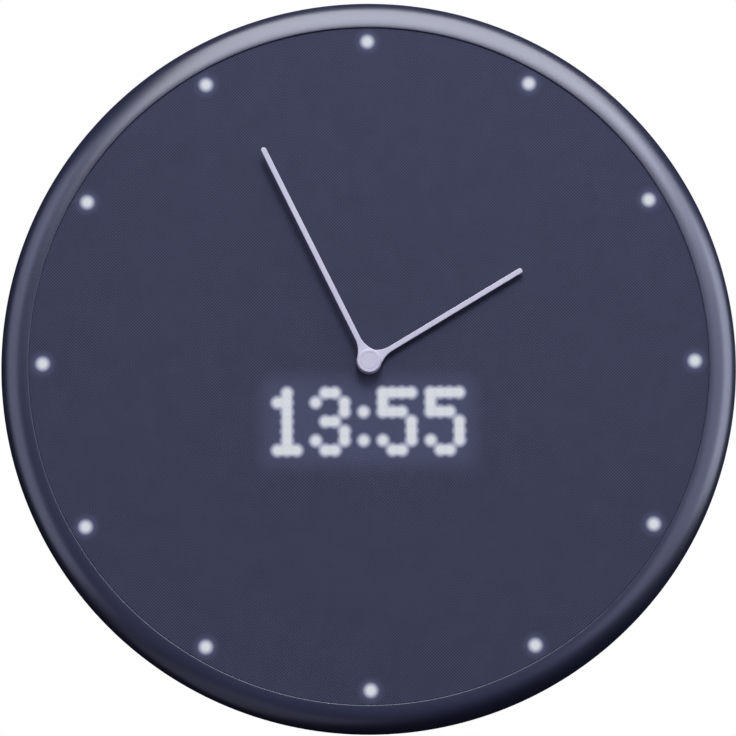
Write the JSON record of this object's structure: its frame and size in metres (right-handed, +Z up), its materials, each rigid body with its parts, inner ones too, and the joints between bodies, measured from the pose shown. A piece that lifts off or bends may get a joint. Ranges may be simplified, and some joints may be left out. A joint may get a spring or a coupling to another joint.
{
  "type": "wall clock",
  "caption": "Round wall clock with a fabric dial, slim hour and minute hands, hour lights and a dot readout that shine through the cloth, in a rounded bezel.",
  "frame": {"origin": "centre of the flat back, on the wall plane and on the hands' axis", "axes": "+X to the right seen from the front, -Y out of the wall through the dial, +Z up"},
  "size_m": [0.305, 0.0399, 0.305],
  "materials": {
    "bezel": "satin indigo paint on a moulded ring",
    "housing": "fine spark-eroded grain",
    "fabric": "fine flat weave, stretched",
    "dial": "plain moulded",
    "light_guide": "clear moulded",
    "hands": "pale satin paint",
    "board": "solder mask",
    "matrix": "plain moulded",
    "movement": "plain moulded",
    "brass": "turned",
    "steel": "bright",
    "gears": "plain moulded",
    "buttons": "matt",
    "battery": "shrink wrap",
    "ribbon": "flexible film"
  },
  "bodies": {
    "case": {"bezel_ring": "bezel", "rear_housing": "housing", "fabric_dial": "fabric", "dial_plate": "dial", "hour_light_guide": "light_guide", "hour_led_board": "board", "led_matrix_left": "matrix", "led_matrix_centre": "matrix", "led_matrix_right": "matrix", "matrix_board": "board", "matrix_screw_left": "steel", "matrix_screw_right": "steel", "movement_case": "movement", "movement_cover": "movement", "movement_screw_left": "steel", "movement_screw_right": "steel", "centre_bush": "brass", "motor_can": "steel", "control_board": "board", "board_screw_left": "steel", "board_screw_right": "steel", "power_socket": "steel", "battery_pack": "battery", "readout_ribbon": "ribbon", "hanger_plate": "steel", "hanger_screw_left": "steel", "hanger_screw_right": "steel", "case_screw_1": "steel", "case_screw_2": "steel", "case_screw_3": "steel", "case_screw_4": "steel", "case_screw_5": "steel", "case_screw_6": "steel"},
    "minute": {"minute_hand": "hands", "minute_collet": "hands", "hand_cap": "hands", "minute_arbor": "steel", "centre_wheel": "brass", "cannon_pinion": "brass"},
    "hour": {"hour_hand": "hands", "hour_collet": "hands", "hour_pipe": "brass", "hour_wheel": "gears"},
    "minute_reduction": {"minute_wheel": "gears", "minute_wheel_pinion": "gears"},
    "third": {"third_wheel": "gears", "third_pinion": "brass", "third_arbor": "steel"},
    "motor_rotor": {"motor_shaft": "steel", "motor_pinion": "brass"},
    "set_key": {"set_button": "buttons", "set_plunger": "matrix"},
    "plus_key": {"plus_button": "buttons", "plus_plunger": "matrix"},
    "minus_key": {"minus_button": "buttons", "minus_plunger": "matrix"}
  },
  "joints": [
    {"name": "minute_turn", "type": "hinge", "parent": "case", "child": "minute", "pos_m": [0, -0.03, 0], "axis": [0, 1, 0], "continuous": true},
    {"name": "hour_turn", "type": "hinge", "parent": "case", "child": "hour", "pos_m": [0, -0.03, 0], "axis": [0, 1, 0], "continuous": true},
    {"name": "minute_reduction_turn", "type": "hinge", "parent": "case", "child": "minute_reduction", "pos_m": [-0.00779, -0.024, 0.0045], "axis": [0, 1, 0], "continuous": true},
    {"name": "third_turn", "type": "hinge", "parent": "case", "child": "third", "pos_m": [0.0045, -0.02, 0.00779], "axis": [0, 1, 0], "continuous": true},
    {"name": "motor_turn", "type": "hinge", "parent": "case", "child": "motor_rotor", "pos_m": [0.0045, -0.016, 0.01679], "axis": [0, 1, 0], "continuous": true},
    {"name": "set_press", "type": "slide", "parent": "case", "child": "set_key", "axis": [0, -1, 0], "range_m": [0, 0.0006], "stiffness_N_per_m": 500},
    {"name": "plus_press", "type": "slide", "parent": "case", "child": "plus_key", "axis": [0, -1, 0], "range_m": [0, 0.0006], "stiffness_N_per_m": 500},
    {"name": "minus_press", "type": "slide", "parent": "case", "child": "minus_key", "axis": [0, -1, 0], "range_m": [0, 0.0006], "stiffness_N_per_m": 500}
  ],
  "couplings": [
    {"joint": "hour_turn", "follows": "minute_turn", "ratio": 0.083333},
    {"joint": "minute_reduction_turn", "follows": "minute_turn", "ratio": -0.33333},
    {"joint": "third_turn", "follows": "minute_turn", "ratio": -3},
    {"joint": "motor_turn", "follows": "minute_turn", "ratio": 9}
  ]
}
